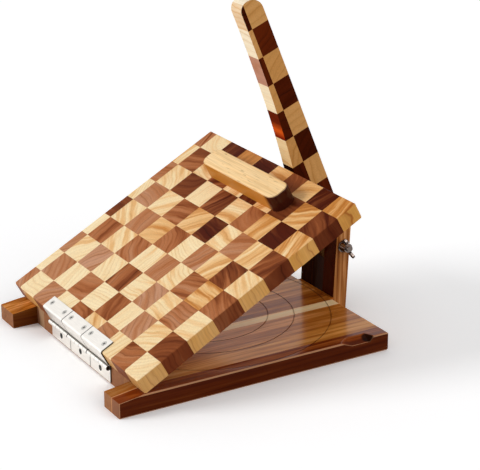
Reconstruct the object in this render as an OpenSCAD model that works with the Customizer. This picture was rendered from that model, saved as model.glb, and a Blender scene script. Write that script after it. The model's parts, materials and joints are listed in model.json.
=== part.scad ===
// Tortilla press: a chequered end-grain plate is hinged on a strip-glued base board, and
// a chequered lever between two uprights bears on the bar across the plate.
// +X is the right-hand side, +Y runs from the hinges to the uprights, +Z is up, and the
// origin is the middle of the base's underside. The pose is the plate propped open.

/* [Base board] */
// Width of the base, along the hinge pins
base_w = 254; // [240:1:300]
// Length of the board from the hinged end to the uprights
board_l = 254; // [240:1:300]
// Thickness of the base
base_t = 18; // [16:0.5:24]
// Length of the two prongs that stand out beside the hinges
prong_l = 25.4; // [20:0.2:34]
// Width of the recess between the prongs
recess_w = 195; // [150:1:200]
// Height lost along the ramp on top of each prong
ramp_drop = 3.3; // [1:0.1:5]
// Width of the bevel on the board's outer edges
edge_bevel = 1.2; // [0.5:0.1:1.5]

/* [Size rings engraved on the base] */
// Radius of the smallest ring
ring_small_r = 65; // [40:1:75]
// Radius of the middle ring
ring_middle_r = 90; // [80:1:100]
// Radius of the largest ring
ring_large_r = 125; // [105:1:125]
// Distance of the rings' centre from the hinged end of the board
ring_centre = 124.5; // [110:0.5:127]
// Width of the engraved line
ring_line = 0.9; // [0.5:0.1:1.5]
// Depth of the engraved line
ring_depth = 0.5; // [0.2:0.1:1]

/* [Finger notch in the base] */
// Length of the notch along the edge
notch_l = 36; // [24:1:50]
// Depth of the notch at the edge
notch_depth = 4.5; // [2:0.5:7]
// Radius of the notch's hollow
notch_r = 14; // [10:1:20]
// Distance from the notch to the uprights' end of the board
notch_end = 16.5; // [8:0.5:30]

/* [Press plate] */
// Width of the plate
plate_w = 257.8; // [250:0.2:280]
// How much shorter the plate is than the board, so that it closes clear of the lever
plate_short = 3; // [2.8:0.1:12]
// Thickness of the plate
plate_t = 15.8; // [12:0.1:18]
// Size of the cut across each corner
corner_cut = 1.5; // [0.5:0.1:6]
// Angle at which the plate stands open
open_angle = 28.4; // [0:0.1:60]
// Length of one block
tile_l = 29; // [20:0.5:40]
// Length of the first row of blocks, at the hinges
row_first = 25.7; // [10:0.1:29]
// Width of the bevel on the plate's top edges
plate_bevel = 0.5; // [0.3:0.1:1]
// Gap between the closed plate and the base
close_gap = 0.4; // [0.1:0.1:2]

/* [Press bar] */
// Length of the bar across the plate
bar_l = 131; // [80:1:160]
// Width of the bar
bar_w = 23; // [18:0.5:30]
// Height of the bar
bar_h = 17.5; // [12:0.5:18]
// Radius of the bar's rounded corners
bar_r = 9; // [4:0.5:9]
// Distance from the bar's middle to the plate's far end
bar_inset = 34.4; // [20:0.1:60]

/* [Hinges] */
// Width of one hinge
leaf_w = 40; // [34:0.5:45]
// Space between one hinge and the next
leaf_space = 1; // [0.5:0.5:8]
// Thickness of a hinge leaf
leaf_t = 1.2; // [0.8:0.1:1.5]
// Outer radius of the knuckles
knuckle_r = 2.4; // [2.1:0.1:2.8]
// Radius of the hinge pins
pin_r = 1.25; // [0.9:0.05:1.3]
// Depth of the pin's axis below the top of the base
pin_drop = 1.6; // [0.5:0.1:3]
// Reach of the upper leaf over the plate
upper_leaf_reach = 13.7; // [11:0.1:20]
// Height of the lower leaf's bottom edge above the base's underside
lower_leaf_base = 1.8; // [0.5:0.1:4]
// Distance between the two screws of an upper leaf
leaf_screw_pitch = 26.5; // [16:0.5:30]

/* [Uprights] */
// Thickness of each upright, along the pivot bolt
upright_t = 19.6; // [14:0.1:26]
// Depth of each upright, from front to back
upright_d = 15.6; // [13:0.1:24]
// Height of the uprights' rounded tops
upright_h = 96; // [90:1:120]
// Angle at which the uprights lean back
upright_lean = 2.7; // [0:0.1:5]
// Thickness of the packing strip at its foot, between base and uprights
packing_t = 3.2; // [2:0.1:8]
// Height of the uprights' feet above the base's underside
foot_lift = 1; // [0:0.5:3]

/* [Lever] */
// Thickness of the lever
lever_t = 18; // [14:0.5:24]
// Clearance between the lever and each upright
lever_gap = 0.45; // [0.3:0.05:1]
// Height of the pivot bolt above the base's underside
pivot_h = 69; // [66:0.5:76]
// Distance of the pivot bolt behind the middle of the uprights
pivot_back = 0.55; // [0:0.05:1]
// Angle at which the lever leans towards the hinges
lever_lean = 22.9; // [0:0.1:23]
// Distance from the pivot to the lever's back edge
lever_back = 19.4; // [16:0.1:24]
// Distance from the pivot to the front edge of the lever's wide end
lever_front = 15.8; // [14:0.1:17]
// Distance from the line through the pivot to the front edge at the grip
grip_front = 3.3; // [1:0.1:6]
// Length of the lever beyond the pivot, up to its tip
lever_reach = 265.5; // [240:0.5:300]
// Length of the lever below the pivot
lever_heel = 15; // [12:0.5:17]
// Distance from the line through the pivot to the seam between the two columns of blocks
lever_seam = 1.3; // [0:0.1:3]
// Length of one block of the lever
lever_tile_l = 29.3; // [20:0.1:40]
// Distance from the pivot to the first joint between blocks
lever_block_start = 4.7; // [4:0.1:12]

/* [Pivot bolt and wing nut] */
// Radius of the bolt
bolt_r = 3; // [2.5:0.5:4]
// Radial clearance round the bolt
bolt_gap = 0.05; // [0.02:0.01:0.1]
// Radius of the bolt's domed head
bolt_head_r = 6.5; // [5:0.1:7]
// Height of the bolt's domed head
bolt_head_h = 3.4; // [2:0.1:4.5]
// Length of the bolt's end beyond the wing nut
bolt_spare = 3; // [1:0.5:8]
// Radius of the washers
washer_r = 6.5; // [5.5:0.5:7]
// Thickness of the washers
washer_t = 1.2; // [0.8:0.1:2]
// Radius of the wing nut's hub
nut_r = 5.5; // [5:0.1:6]
// Height of the wing nut's hub
nut_h = 7; // [5:0.1:9]
// Distance between the tips of the wing nut's wings
wing_span = 24; // [20:0.5:30]
// Thickness of the wings
wing_t = 2.2; // [1.6:0.1:3]
// Angle of the wings from upright
wing_angle = 28; // [0:1:90]

/* [Wood screws] */
// Radius of the hinge screws' shanks
leaf_screw_r = 1.4; // [1:0.1:1.8]
// Length of the hinge screws
leaf_screw_l = 11; // [8:0.5:13]
// Radius of the hinge screws' heads
leaf_screw_head_r = 2.8; // [2.4:0.1:3.4]
// Radius of the long screws' shanks
long_screw_r = 2; // [1.5:0.1:2.5]
// Radius of the long screws' heads
long_screw_head_r = 4; // [3.5:0.1:4.5]
// Length of the screws that hold the uprights
upright_screw_l = 50; // [40:1:60]
// Distance between the two screws that hold the press bar
bar_screw_pitch = 80; // [40:1:90]

/* [Hidden] */
$fn = 48;

// Colours of the woods and metals
maple = "#e3bd83";
walnut = "#5c2a1a";
acacia_brown = "#7b4526";
acacia_gold = "#a8703a";
sapwood = "#ddb27a";
steel = "#d4d4d0";
chrome = "#b9bcc0";

// Places along Y
total_l = board_l + prong_l;
recess_y = prong_l - total_l / 2;
far_y = total_l / 2;

// Glued seams of the base, between its first and its last strip, from left to right
seams = [-110, -93, -82, -46, -6, 34.5, 46.5, 85.5, 112];
strip_edges = concat([-base_w / 2], seams, [base_w / 2]);
strip_colours = [walnut, acacia_brown, sapwood, acacia_brown, acacia_gold,
                 acacia_brown, sapwood, walnut, acacia_gold, acacia_brown];

// Hinge axis: the knuckles stand just proud of the end face
knuckle_gap = 0.3;
pin_y = recess_y - knuckle_r - knuckle_gap;
pin_z = base_t - pin_drop;
hinge_xs = [for (i = [-1 : 1]) i * (leaf_w + leaf_space)];
knuckles = 5;
knuckle_w = leaf_w / knuckles;
fit_gap = 0.05;
pin_recess = 0.3;

// The plate's own frame has its origin on the hinge axis, y along the plate and z across it
leaf_clear = 0.2;
plate_y = knuckle_r + knuckle_gap - leaf_clear;
plate_z = pin_drop + close_gap;
plate_l = board_l - plate_short;
bar_y = plate_y + plate_l - bar_inset;
rows = ceil((plate_l - row_first) / tile_l) + 1;

// Glued joints between the plate's columns of blocks, from right to left
column_joints = [104.6, 77.6, 52.2, 27.4, 1.4, -27.9, -57.1, -86.5, -116];
column_edges = concat([plate_w / 2], column_joints, [-plate_w / 2]);

// Screw places on the hinges
upper_screw_y = plate_y + upper_leaf_reach / 2 + leaf_t / 2;
lower_screw_z = (lower_leaf_base + pin_z) / 2 - leaf_t / 2;

// Uprights
upright_x = lever_t / 2 + lever_gap;
upright_front = far_y + packing_t;
outer_x = upright_x + upright_t;
upright_middle = upright_front + upright_d / 2 / cos(upright_lean);
pivot_y = upright_middle + pivot_h * tan(upright_lean) + pivot_back;
upright_screw_z = base_t / 2;
upright_screw_xs = [for (side = [-1, 1], u = [0.27, 0.73]) side * (upright_x + u * upright_t)];

// Pivot bolt, from its head on the left to its end beyond the wing nut
nut_x = outer_x + washer_t + fit_gap;
bolt_end = nut_x + nut_h + bolt_spare;

// A little extra length for cuts
over = 1;

// Points of an arc round c, from angle a to angle b
function arc(c, r, a, b, steps = 8) =
    [for (i = [0 : steps]) c + r * [cos(a + (b - a) * i / steps), sin(a + (b - a) * i / steps)]];

// Points of a cubic curve through p0 and p3, drawn towards p1 and p2
function curve(p0, p1, p2, p3, steps = 14) =
    [for (i = [1 : steps - 1]) let (t = i / steps, s = 1 - t)
        s * s * s * p0 + 3 * s * s * t * p1 + 3 * s * t * t * p2 + t * t * t * p3];

// Moves its children from the plate's own frame to the open plate
module on_plate() {
    translate([0, pin_y, pin_z]) rotate([open_angle, 0, 0]) children();
}

// Moves its children from the lever's own frame, whose z runs up the lever
module on_lever() {
    translate([0, pivot_y, pivot_h]) rotate([lever_lean, 0, 0]) children();
}

// A bar of square section along X whose edge lies on the X axis, for cutting a bevel
module bevel_bar(l, b) {
    rotate([45, 0, 0]) cube([l, b * sqrt(2), b * sqrt(2)], center = true);
}

// A countersunk wood screw that points along -Z, with its head's face at z = 0
module screw(r, head_r, l, extra = 0) {
    difference() {
        union() {
            translate([0, 0, -l]) cylinder(r = r + extra, h = l);
            translate([0, 0, r - head_r]) cylinder(r1 = r + extra, r2 = head_r + extra, h = head_r - r);
        }
        if (extra == 0) for (turn = [0, 90]) rotate([0, 0, turn + 20])
            cube([head_r * 1.2, head_r * 0.22, head_r * 0.5], center = true);
    }
}

// The hole for such a screw, open above its head
module screw_hole(r, head_r, l) {
    screw(r, head_r, l + fit_gap, fit_gap);
    cylinder(r = head_r + fit_gap, h = over);
}

module leaf_screw_at(x, y, z, hole) {
    translate([x, y, z]) {
        if (hole) screw_hole(leaf_screw_r, leaf_screw_head_r, leaf_screw_l);
        else screw(leaf_screw_r, leaf_screw_head_r, leaf_screw_l);
    }
}

// Screws of the upper leaves, in the plate's own frame
module upper_screws(hole = false) {
    for (x = hinge_xs, side = [-1, 1])
        leaf_screw_at(x + side * leaf_screw_pitch / 2, upper_screw_y, plate_z + plate_t + leaf_t, hole);
}

// Screws of the lower leaves, driven level into the end of the base
module lower_screws(hole = false) {
    for (x = hinge_xs)
        translate([x, recess_y - leaf_t, lower_screw_z]) rotate([90, 0, 0]) leaf_screw_at(0, 0, 0, hole);
}

// Screws through the uprights' feet into the far end of the base
module foot_screws(hole = false) {
    sunk = 0.6;
    y = upright_front + upright_d + upright_screw_z * tan(upright_lean) - sunk;
    for (x = upright_screw_xs) translate([x, y, upright_screw_z]) rotate([-90, 0, 0]) {
        if (hole) screw_hole(long_screw_r, long_screw_head_r, upright_screw_l);
        else screw(long_screw_r, long_screw_head_r, upright_screw_l);
    }
}

// Screws up through the plate into the press bar, in the plate's own frame
module bar_screws(hole = false) {
    l = plate_t + bar_h * 0.6;
    for (side = [-1, 1])
        translate([side * bar_screw_pitch / 2, bar_y, plate_z]) rotate([180, 0, 0]) {
            if (hole) screw_hole(long_screw_r, long_screw_head_r, l);
            else screw(long_screw_r, long_screw_head_r, l);
        }
}

// Outline of the base seen from the side: the ramp runs down along the prongs
module base_side() {
    polygon([[far_y, 0], [far_y, base_t], [recess_y, base_t], [-far_y, base_t - ramp_drop], [-far_y, 0]]);
}

// The whole base as it is before the seams divide it
module base_board() {
    difference() {
        translate([-base_w / 2, 0, 0]) rotate([90, 0, 90]) linear_extrude(base_w) base_side();
        translate([-recess_w / 2, -far_y - over, -over])
            cube([recess_w, prong_l + over, base_t + 2 * over]);
        for (side = [-1, 1], z = [0, base_t])
            translate([side * base_w / 2, 0, z]) rotate([0, 0, 90]) bevel_bar(total_l + 2 * over, edge_bevel);
        for (z = [0, base_t]) translate([0, far_y, z]) bevel_bar(base_w + 2 * over, edge_bevel);
        for (r = [ring_small_r, ring_middle_r, ring_large_r]) ring_cut(r);
        notch_cut();
        lower_screws(hole = true);
        foot_screws(hole = true);
    }
}

// Engraved ring of radius r
module ring_cut(r) {
    translate([0, recess_y + ring_centre, base_t - ring_depth]) difference() {
        cylinder(r = r + ring_line / 2, h = ring_depth + over, $fn = 96);
        translate([0, 0, -over]) cylinder(r = r - ring_line / 2, h = ring_depth + 3 * over, $fn = 96);
    }
}

// Scoop along the right-hand edge, steep at the far end and fading out towards the middle
module notch_cut() {
    fade = notch_l / 3;
    steep = notch_l / 9;
    shallow_r = notch_r - notch_depth;
    translate([base_w / 2, far_y - notch_end - notch_l, base_t + notch_r - notch_depth]) rotate([-90, 0, 0]) {
        cylinder(r1 = shallow_r, r2 = notch_r, h = fade);
        translate([0, 0, fade]) cylinder(r = notch_r, h = notch_l - fade - steep);
        translate([0, 0, notch_l - steep]) cylinder(r1 = notch_r, r2 = shallow_r, h = steep);
    }
}

module base_strip(i) {
    color(strip_colours[i - 1]) intersection() {
        base_board();
        translate([strip_edges[i - 1], -far_y - over, -over])
            cube([strip_edges[i] - strip_edges[i - 1], total_l + 2 * over, base_t + 2 * over]);
    }
}

// Outline of the plate with its corners cut off, in the plate's own frame
module plate_outline() {
    x = plate_w / 2;
    y = plate_y + plate_l;
    c = corner_cut;
    polygon([[c - x, plate_y], [x - c, plate_y], [x, plate_y + c], [x, y - c],
             [x - c, y], [c - x, y], [-x, y - c], [-x, plate_y + c]]);
}

// The whole plate before its joints divide it into blocks
module plate_board() {
    difference() {
        translate([0, 0, plate_z]) linear_extrude(plate_t) plate_outline();
        translate([0, plate_y, plate_z + plate_t]) bevel_bar(plate_w + 2 * over, leaf_t);
        translate([0, plate_y + plate_l, plate_z + plate_t]) bevel_bar(plate_w + 2 * over, plate_bevel);
        for (side = [-1, 1]) translate([side * plate_w / 2, plate_y + plate_l / 2, plate_z + plate_t])
            rotate([0, 0, 90]) bevel_bar(plate_l + 2 * over, plate_bevel);
        upper_screws(hole = true);
        bar_screws(hole = true);
    }
}

// Rows run along Y from the hinges
function row_edge(i) = i <= 0 ? plate_y : min(plate_y + row_first + (i - 1) * tile_l, plate_y + plate_l);

// Every second block: the light ones at parity 0, and the dark ones at parity 1
module plate_blocks(parity) {
    on_plate() intersection() {
        plate_board();
        union() for (i = [0 : rows - 1], j = [0 : len(column_joints)]) if ((i + j) % 2 == parity)
            translate([column_edges[j + 1], row_edge(i), plate_z - over])
                cube([column_edges[j] - column_edges[j + 1], row_edge(i + 1) - row_edge(i),
                      plate_t + 2 * over]);
    }
}

module plate_light_blocks() { color(maple) plate_blocks(0); }

module plate_dark_blocks() { color(walnut) plate_blocks(1); }

// A rectangle with round corners, from circles and squares
module round_rectangle(l, w, r) {
    for (x = [-1, 1], y = [-1, 1]) translate([x * (l / 2 - r), y * (w / 2 - r)]) circle(r = r);
    square([l - 2 * r, w], center = true);
    square([l, w - 2 * r], center = true);
}

module press_bar() {
    color(sapwood) on_plate() difference() {
        translate([0, bar_y, plate_z + plate_t]) linear_extrude(bar_h) round_rectangle(bar_l, bar_w, bar_r);
        bar_screws(hole = true);
    }
}

module press_bar_screws() { color(steel) on_plate() bar_screws(); }

// Section of an upper leaf, bent over the end of the plate, in the plate's own frame
module upper_leaf_section() {
    top = plate_z + plate_t + leaf_t;
    polygon(concat(
        [[plate_y, 0], [plate_y - leaf_t, 0]],
        arc([plate_y + leaf_t, top - 2 * leaf_t], 2 * leaf_t, 180, 90),
        [[plate_y + upper_leaf_reach, top], [plate_y + upper_leaf_reach, top - leaf_t]],
        arc([plate_y + leaf_t, top - 2 * leaf_t], leaf_t, 90, 180)));
}

// Room for the other leaf's knuckle number k, from the height low to the height high
module knuckle_room(x, k, low, high) {
    reach = knuckle_r + over;
    translate([x - leaf_w / 2 + k * knuckle_w - knuckle_gap, -reach, low])
        cube([knuckle_w + 2 * knuckle_gap, 2 * reach, high - low]);
}

// Knuckle number k of a hinge at x, round the hinge axis
module knuckle(x, k) {
    gap = knuckle_gap / 2;
    translate([x - leaf_w / 2 + k * knuckle_w + gap, 0, 0]) rotate([0, 90, 0])
        cylinder(r = knuckle_r, h = knuckle_w - 2 * gap);
}

module pin_bore(x) {
    translate([x - leaf_w / 2 - over, 0, 0]) rotate([0, 90, 0])
        cylinder(r = pin_r + fit_gap, h = leaf_w + 2 * over);
}

module upper_leaf(x) {
    color(steel) on_plate() difference() {
        union() {
            difference() {
                translate([x - leaf_w / 2, 0, 0]) rotate([90, 0, 90])
                    linear_extrude(leaf_w) upper_leaf_section();
                for (k = [0 : 2 : knuckles - 1]) knuckle_room(x, k, -over, knuckle_r + knuckle_gap);
            }
            for (k = [1 : 2 : knuckles - 1]) knuckle(x, k);
        }
        pin_bore(x);
        upper_screws(hole = true);
    }
}

module upper_leaf_screws() { color(chrome) on_plate() upper_screws(); }

module lower_leaf(x) {
    color(steel) difference() {
        union() {
            difference() {
                translate([x - leaf_w / 2, recess_y - leaf_t, lower_leaf_base])
                    cube([leaf_w, leaf_t, pin_z - lower_leaf_base]);
                translate([0, pin_y, pin_z]) for (k = [1 : 2 : knuckles - 1])
                    knuckle_room(x, k, -knuckle_r - knuckle_gap, over);
            }
            translate([0, pin_y, pin_z]) for (k = [0 : 2 : knuckles - 1]) knuckle(x, k);
        }
        translate([0, pin_y, pin_z]) pin_bore(x);
        lower_screws(hole = true);
    }
}

module lower_leaf_screws() { color(chrome) lower_screws(); }

module hinge_pin(x) {
    color(chrome) translate([x - leaf_w / 2 + pin_recess, pin_y, pin_z]) rotate([0, 90, 0])
        cylinder(r = pin_r, h = leaf_w - 2 * pin_recess);
}

// Tapered strip that fills the space between the base and the leaning uprights
module packing_strip() {
    lean = tan(upright_lean);
    color(acacia_gold) difference() {
        translate([-outer_x, 0, 0]) rotate([90, 0, 90]) linear_extrude(2 * outer_x)
            polygon([[far_y, foot_lift], [upright_front + foot_lift * lean, foot_lift],
                     [upright_front + (base_t - edge_bevel) * lean, base_t - edge_bevel],
                     [far_y, base_t - edge_bevel]]);
        foot_screws(hole = true);
    }
}

// Side outline of an upright: its foot is level and its top is round
module upright_side() {
    lean = tan(upright_lean);
    depth = upright_d / cos(upright_lean);
    top = upright_h - upright_d / 2;
    polygon([[upright_front + foot_lift * lean, foot_lift],
             [upright_front + depth + foot_lift * lean, foot_lift],
             [upright_front + depth + top * lean, top], [upright_front + top * lean, top]]);
    translate([upright_front + depth / 2 + top * lean, top]) circle(r = depth / 2);
}

module upright(x) {
    difference() {
        translate([x, 0, 0]) rotate([90, 0, 90]) linear_extrude(upright_t) upright_side();
        foot_screws(hole = true);
        bolt_bore();
    }
}

module bolt_bore() {
    translate([-outer_x - over, pivot_y, pivot_h]) rotate([0, 90, 0])
        cylinder(r = bolt_r + bolt_gap, h = 2 * (outer_x + over));
}

module upright_right() { color(acacia_gold) upright(upright_x); }

module upright_left() { color(acacia_gold) upright(-upright_x - upright_t); }

module upright_screws() { color(steel) foot_screws(); }

// Bolt with a domed head on the left-hand side
module pivot_bolt() {
    head_x = -outer_x - washer_t;
    dome_r = (bolt_head_r * bolt_head_r + bolt_head_h * bolt_head_h) / 2 / bolt_head_h;
    color(chrome) translate([0, pivot_y, pivot_h]) rotate([0, 90, 0]) {
        translate([0, 0, head_x]) cylinder(r = bolt_r, h = bolt_end - head_x);
        intersection() {
            translate([0, 0, head_x - bolt_head_h + dome_r]) sphere(r = dome_r);
            translate([0, 0, head_x - bolt_head_h]) cylinder(r = bolt_head_r + over, h = bolt_head_h);
        }
    }
}

module washer(x) {
    color(chrome) translate([x, pivot_y, pivot_h]) rotate([0, 90, 0]) difference() {
        cylinder(r = washer_r, h = washer_t);
        translate([0, 0, -over]) cylinder(r = bolt_r + bolt_gap, h = washer_t + 2 * over);
    }
}

// Side view of one wing: it rises from the hub to a round tip
module wing_side() {
    tip_r = 2.7;
    tip = [wing_span / 2 - tip_r, nut_h + 1];
    translate(tip) circle(r = tip_r);
    polygon([[bolt_r + 1, 0.8], [nut_r, 0.8], tip + tip_r * [cos(-20), sin(-20)],
             tip + tip_r * [cos(150), sin(150)], [bolt_r + 1, nut_h - 1]]);
}

module wing_nut() {
    color(chrome) translate([nut_x, pivot_y, pivot_h]) rotate([wing_angle, 0, 0]) rotate([0, 90, 0])
        difference() {
            union() {
                cylinder(r1 = nut_r, r2 = nut_r - 1, h = nut_h);
                for (turn = [0, 180]) rotate([90, 0, turn]) translate([0, 0, -wing_t / 2])
                    linear_extrude(wing_t) wing_side();
            }
            translate([0, 0, -over]) cylinder(r = bolt_r + bolt_gap, h = nut_h + 2 * over);
        }
}

// Side outline of the lever in its own frame: x is towards the back, and y runs up the lever
module lever_side() {
    toe_r = 6;
    heel_r = lever_back + lever_front - toe_r - 3;
    tip_front_r = 9;
    tip_back_r = 13;
    swell = 48;
    belly = 75;
    waist = 105;
    slim = 240;
    polygon(concat(
        arc([lever_back - heel_r, heel_r - lever_heel], heel_r, 0, -90),
        arc([toe_r - lever_front, toe_r - lever_heel], toe_r, -90, -180),
        [[-lever_front, swell]],
        curve([-lever_front, swell], [-lever_front, belly], [-grip_front - 1, waist], [-grip_front, slim]),
        [[-grip_front, slim]],
        arc([tip_front_r - grip_front, lever_reach - tip_front_r], tip_front_r, 180, 90),
        arc([lever_back - tip_back_r, lever_reach - tip_back_r], tip_back_r, 90, 0)));
}

module lever_board() {
    difference() {
        translate([-lever_t / 2, 0, 0]) rotate([90, 0, 90]) linear_extrude(lever_t) lever_side();
        translate([-lever_t / 2 - over, 0, 0]) rotate([0, 90, 0])
            cylinder(r = bolt_r + bolt_gap, h = lever_t + 2 * over);
    }
}

// Every second block of the lever, in two columns on either side of its seam
module lever_blocks(parity) {
    count = ceil((lever_reach - lever_block_start) / lever_tile_l);
    on_lever() intersection() {
        lever_board();
        union() for (i = [-1 : count - 1], column = [0, 1]) if ((i + column + 2) % 2 == parity) {
            low = i < 0 ? -lever_heel - over : lever_block_start + i * lever_tile_l;
            high = lever_block_start + (i + 1) * lever_tile_l;
            w = lever_back + lever_front;
            translate([-lever_t / 2 - over, column == 0 ? lever_seam : lever_seam - w, low])
                cube([lever_t + 2 * over, w, high - low]);
        }
    }
}

module lever_light_blocks() { color(maple) lever_blocks(0); }

module lever_dark_blocks() { color(walnut) lever_blocks(1); }

base_strip(1);  // base_strip_1
base_strip(2);  // base_strip_2
base_strip(3);  // base_strip_3
base_strip(4);  // base_strip_4
base_strip(5);  // base_strip_5
base_strip(6);  // base_strip_6
base_strip(7);  // base_strip_7
base_strip(8);  // base_strip_8
base_strip(9);  // base_strip_9
base_strip(10);  // base_strip_10
plate_light_blocks();
plate_dark_blocks();
press_bar();
press_bar_screws();
upper_leaf(hinge_xs[0]);  // upper_leaf_1
upper_leaf(hinge_xs[1]);  // upper_leaf_2
upper_leaf(hinge_xs[2]);  // upper_leaf_3
upper_leaf_screws();
lower_leaf(hinge_xs[0]);  // lower_leaf_1
lower_leaf(hinge_xs[1]);  // lower_leaf_2
lower_leaf(hinge_xs[2]);  // lower_leaf_3
lower_leaf_screws();
hinge_pin(hinge_xs[0]);  // hinge_pin_1
hinge_pin(hinge_xs[1]);  // hinge_pin_2
hinge_pin(hinge_xs[2]);  // hinge_pin_3
packing_strip();
upright_right();
upright_left();
upright_screws();
pivot_bolt();
washer(outer_x);  // washer_right
washer(-outer_x - washer_t);  // washer_left
wing_nut();
lever_light_blocks();
lever_dark_blocks();
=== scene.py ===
# %% [markdown]
# # A chequered tortilla press
# The press is a wooden base board, a hinged plate of end-grain blocks and a lever that pushes the plate
# shut. Its pieces come from a CAD model at their real size. This lesson gives them their woods and metals,
# softens the edges that a hand would feel, and sets up a plain studio to look at them in.
# %% Load the frame
import json
import math

import bmesh
import bpy
from mathutils import Matrix, Vector


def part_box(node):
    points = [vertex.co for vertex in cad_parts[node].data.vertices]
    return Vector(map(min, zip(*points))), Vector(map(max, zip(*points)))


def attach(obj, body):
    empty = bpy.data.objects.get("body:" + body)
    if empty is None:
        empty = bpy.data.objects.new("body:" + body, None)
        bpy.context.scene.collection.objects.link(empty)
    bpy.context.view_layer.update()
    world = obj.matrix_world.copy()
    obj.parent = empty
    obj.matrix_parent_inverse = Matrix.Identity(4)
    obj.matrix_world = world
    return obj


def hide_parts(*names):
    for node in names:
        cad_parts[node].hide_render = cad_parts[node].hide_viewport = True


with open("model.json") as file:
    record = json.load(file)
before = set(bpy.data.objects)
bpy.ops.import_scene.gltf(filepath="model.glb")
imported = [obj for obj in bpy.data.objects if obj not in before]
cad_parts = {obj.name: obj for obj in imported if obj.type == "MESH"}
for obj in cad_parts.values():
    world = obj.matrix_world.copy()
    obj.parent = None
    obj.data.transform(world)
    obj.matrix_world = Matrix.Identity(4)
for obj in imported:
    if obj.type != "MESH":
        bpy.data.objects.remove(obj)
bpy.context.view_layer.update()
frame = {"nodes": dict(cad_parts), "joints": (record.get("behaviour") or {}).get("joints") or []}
nodes = frame["nodes"]
print("CAD nodes:", len(nodes))

# %% [markdown]
# ## Where things are
# Every pattern in wood follows the piece it is cut from, so the materials need the press's own frames: the
# plate turns about the hinge pins, and the lever about its bolt. The places of both come with the CAD
# model. The rest are the sizes that the patterns use, in metres.
# %% Named sizes
MM = 0.001
BASE_L = 254 * MM
PRONG_L = 25.4 * MM
BASE_T = 18 * MM
RECESS_Y = PRONG_L - (BASE_L + PRONG_L) / 2
RING_RADII = [65 * MM, 90 * MM, 125 * MM]
RING_CENTRE = Vector((0, RECESS_Y + 124.5 * MM, 0))

joints = {joint["name"]: joint for joint in frame["joints"]}
PIN = Vector(joints["plate_hinge"]["pos_m"])
# Along the open plate and square to it, from the hinge pins
PLATE_START = 2.5 * MM
PLATE_TOP = 17.8 * MM
FIRST_ROW = 25.7 * MM
BLOCK_L = 29 * MM
COLUMN_JOINTS = [x * MM for x in (104.6, 77.6, 52.2, 27.4, 1.4, -27.9, -57.1, -86.5, -116)]
BAR_H = 17.5 * MM
BAR_HALF = 65.5 * MM
LEAF_T = 1.2 * MM

PIVOT = Vector(joints["lever_pivot"]["pos_m"])
# Along the leaning lever and across it, from the bolt
LEVER_BLOCK_L = 29.3 * MM
LEVER_FIRST = 4.7 * MM
LEVER_SEAM = 1.3 * MM

# The plate's joint counts from rest, so its lower limit is how far the plate stands open
OPEN_ANGLE = math.radians(-joints["plate_hinge"]["range_deg"][0])
LEVER_LEAN = math.radians(22.9)
plate_turn = Matrix.Rotation(OPEN_ANGLE, 3, "X")
lever_turn = Matrix.Rotation(LEVER_LEAN, 3, "X")
print("hinge axis at", tuple(PIN), "pivot at", tuple(PIVOT))

# %% [markdown]
# ## Small helpers
# Colours are written as sRGB hex values, the way a paint chart or a picture editor gives them, and one
# function turns them into the linear values that a shader works with. Another adds one node, sets it and
# links it, which keeps a long tree of nodes readable as text.
# %% Helpers for colours and nodes


def linear(hex_colour):
    """The linear colour of an sRGB hex value such as #e3bd83."""
    channels = [int(hex_colour[i:i + 2], 16) / 255 for i in (1, 3, 5)]
    return tuple(c / 12.92 if c <= 0.04045 else ((c + 0.055) / 1.055) ** 2.4 for c in channels) + (1.0,)


def add(tree, kind, inputs=None, out=0, stops=None, **settings):
    """Adds a shader node. inputs gives a socket a value or another node's output, and stops are a ramp's
    places with their hex colours."""
    node = tree.nodes.new("ShaderNode" + kind)
    for name, value in settings.items():
        setattr(node, name, value)
    for socket, value in (inputs or {}).items():
        if isinstance(value, bpy.types.NodeSocket):
            tree.links.new(value, node.inputs[socket])
        else:
            node.inputs[socket].default_value = value
    for index, (position, colour) in enumerate(stops or []):
        band = node.color_ramp.elements
        element = band[index] if index < 2 else band.new(1.0)
        element.position = position
        element.color = linear(colour)
    return node.outputs[out]


def new_material(name):
    """A new node material, with its tree and its surface shader."""
    material = bpy.data.materials.new(name)
    material.use_nodes = True
    return material, material.node_tree, material.node_tree.nodes["Principled BSDF"]


BUMP_STRENGTH = 0.5


def finish_material(material, tree, shader, colour, roughness, bump_height, bump_mm, **constants):
    """Links colour, roughness and bump to the shader and sets what is the same all over."""
    tree.links.new(colour, shader.inputs["Base Color"])
    tree.links.new(roughness, shader.inputs["Roughness"])
    bump = add(tree, "Bump", {"Strength": BUMP_STRENGTH, "Distance": bump_mm * MM, "Height": bump_height})
    tree.links.new(bump, shader.inputs["Normal"])
    for socket, value in constants.items():
        shader.inputs[socket.replace("_", " ")].default_value = value
    return material


print("helpers ready")

# %% [markdown]
# ## Yearly rings
# All the woods count rings the same way. A tree adds a pale layer in spring and a darker one in late
# summer, so going outwards from the heart the colour deepens slowly and jumps back. The Wave texture draws
# rings too, but makes them all alike. Here the distance from the heart, bent a little by noise, is divided
# by the width of a ring: the whole part numbers the ring, which gives each one its own strength, and the
# rest is the place within it.
# %% Rings from a heart
# Across one ring: the end of last year's edge, pale spring wood, then the dark late wood
RING_PROFILE = [(0.0, "#808080"), (0.2, "#202020"), (0.45, "#000000"), (0.8, "#a0a0a0"), (0.9, "#ffffff"),
                (1.0, "#808080")]
# Nearly all of a noise lies between these two values
NOISE_RANGE = {"From Min": 0.3, "From Max": 0.7}
FAINTEST_RING = 0.25
BAND_STRETCH = 0.18


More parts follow.
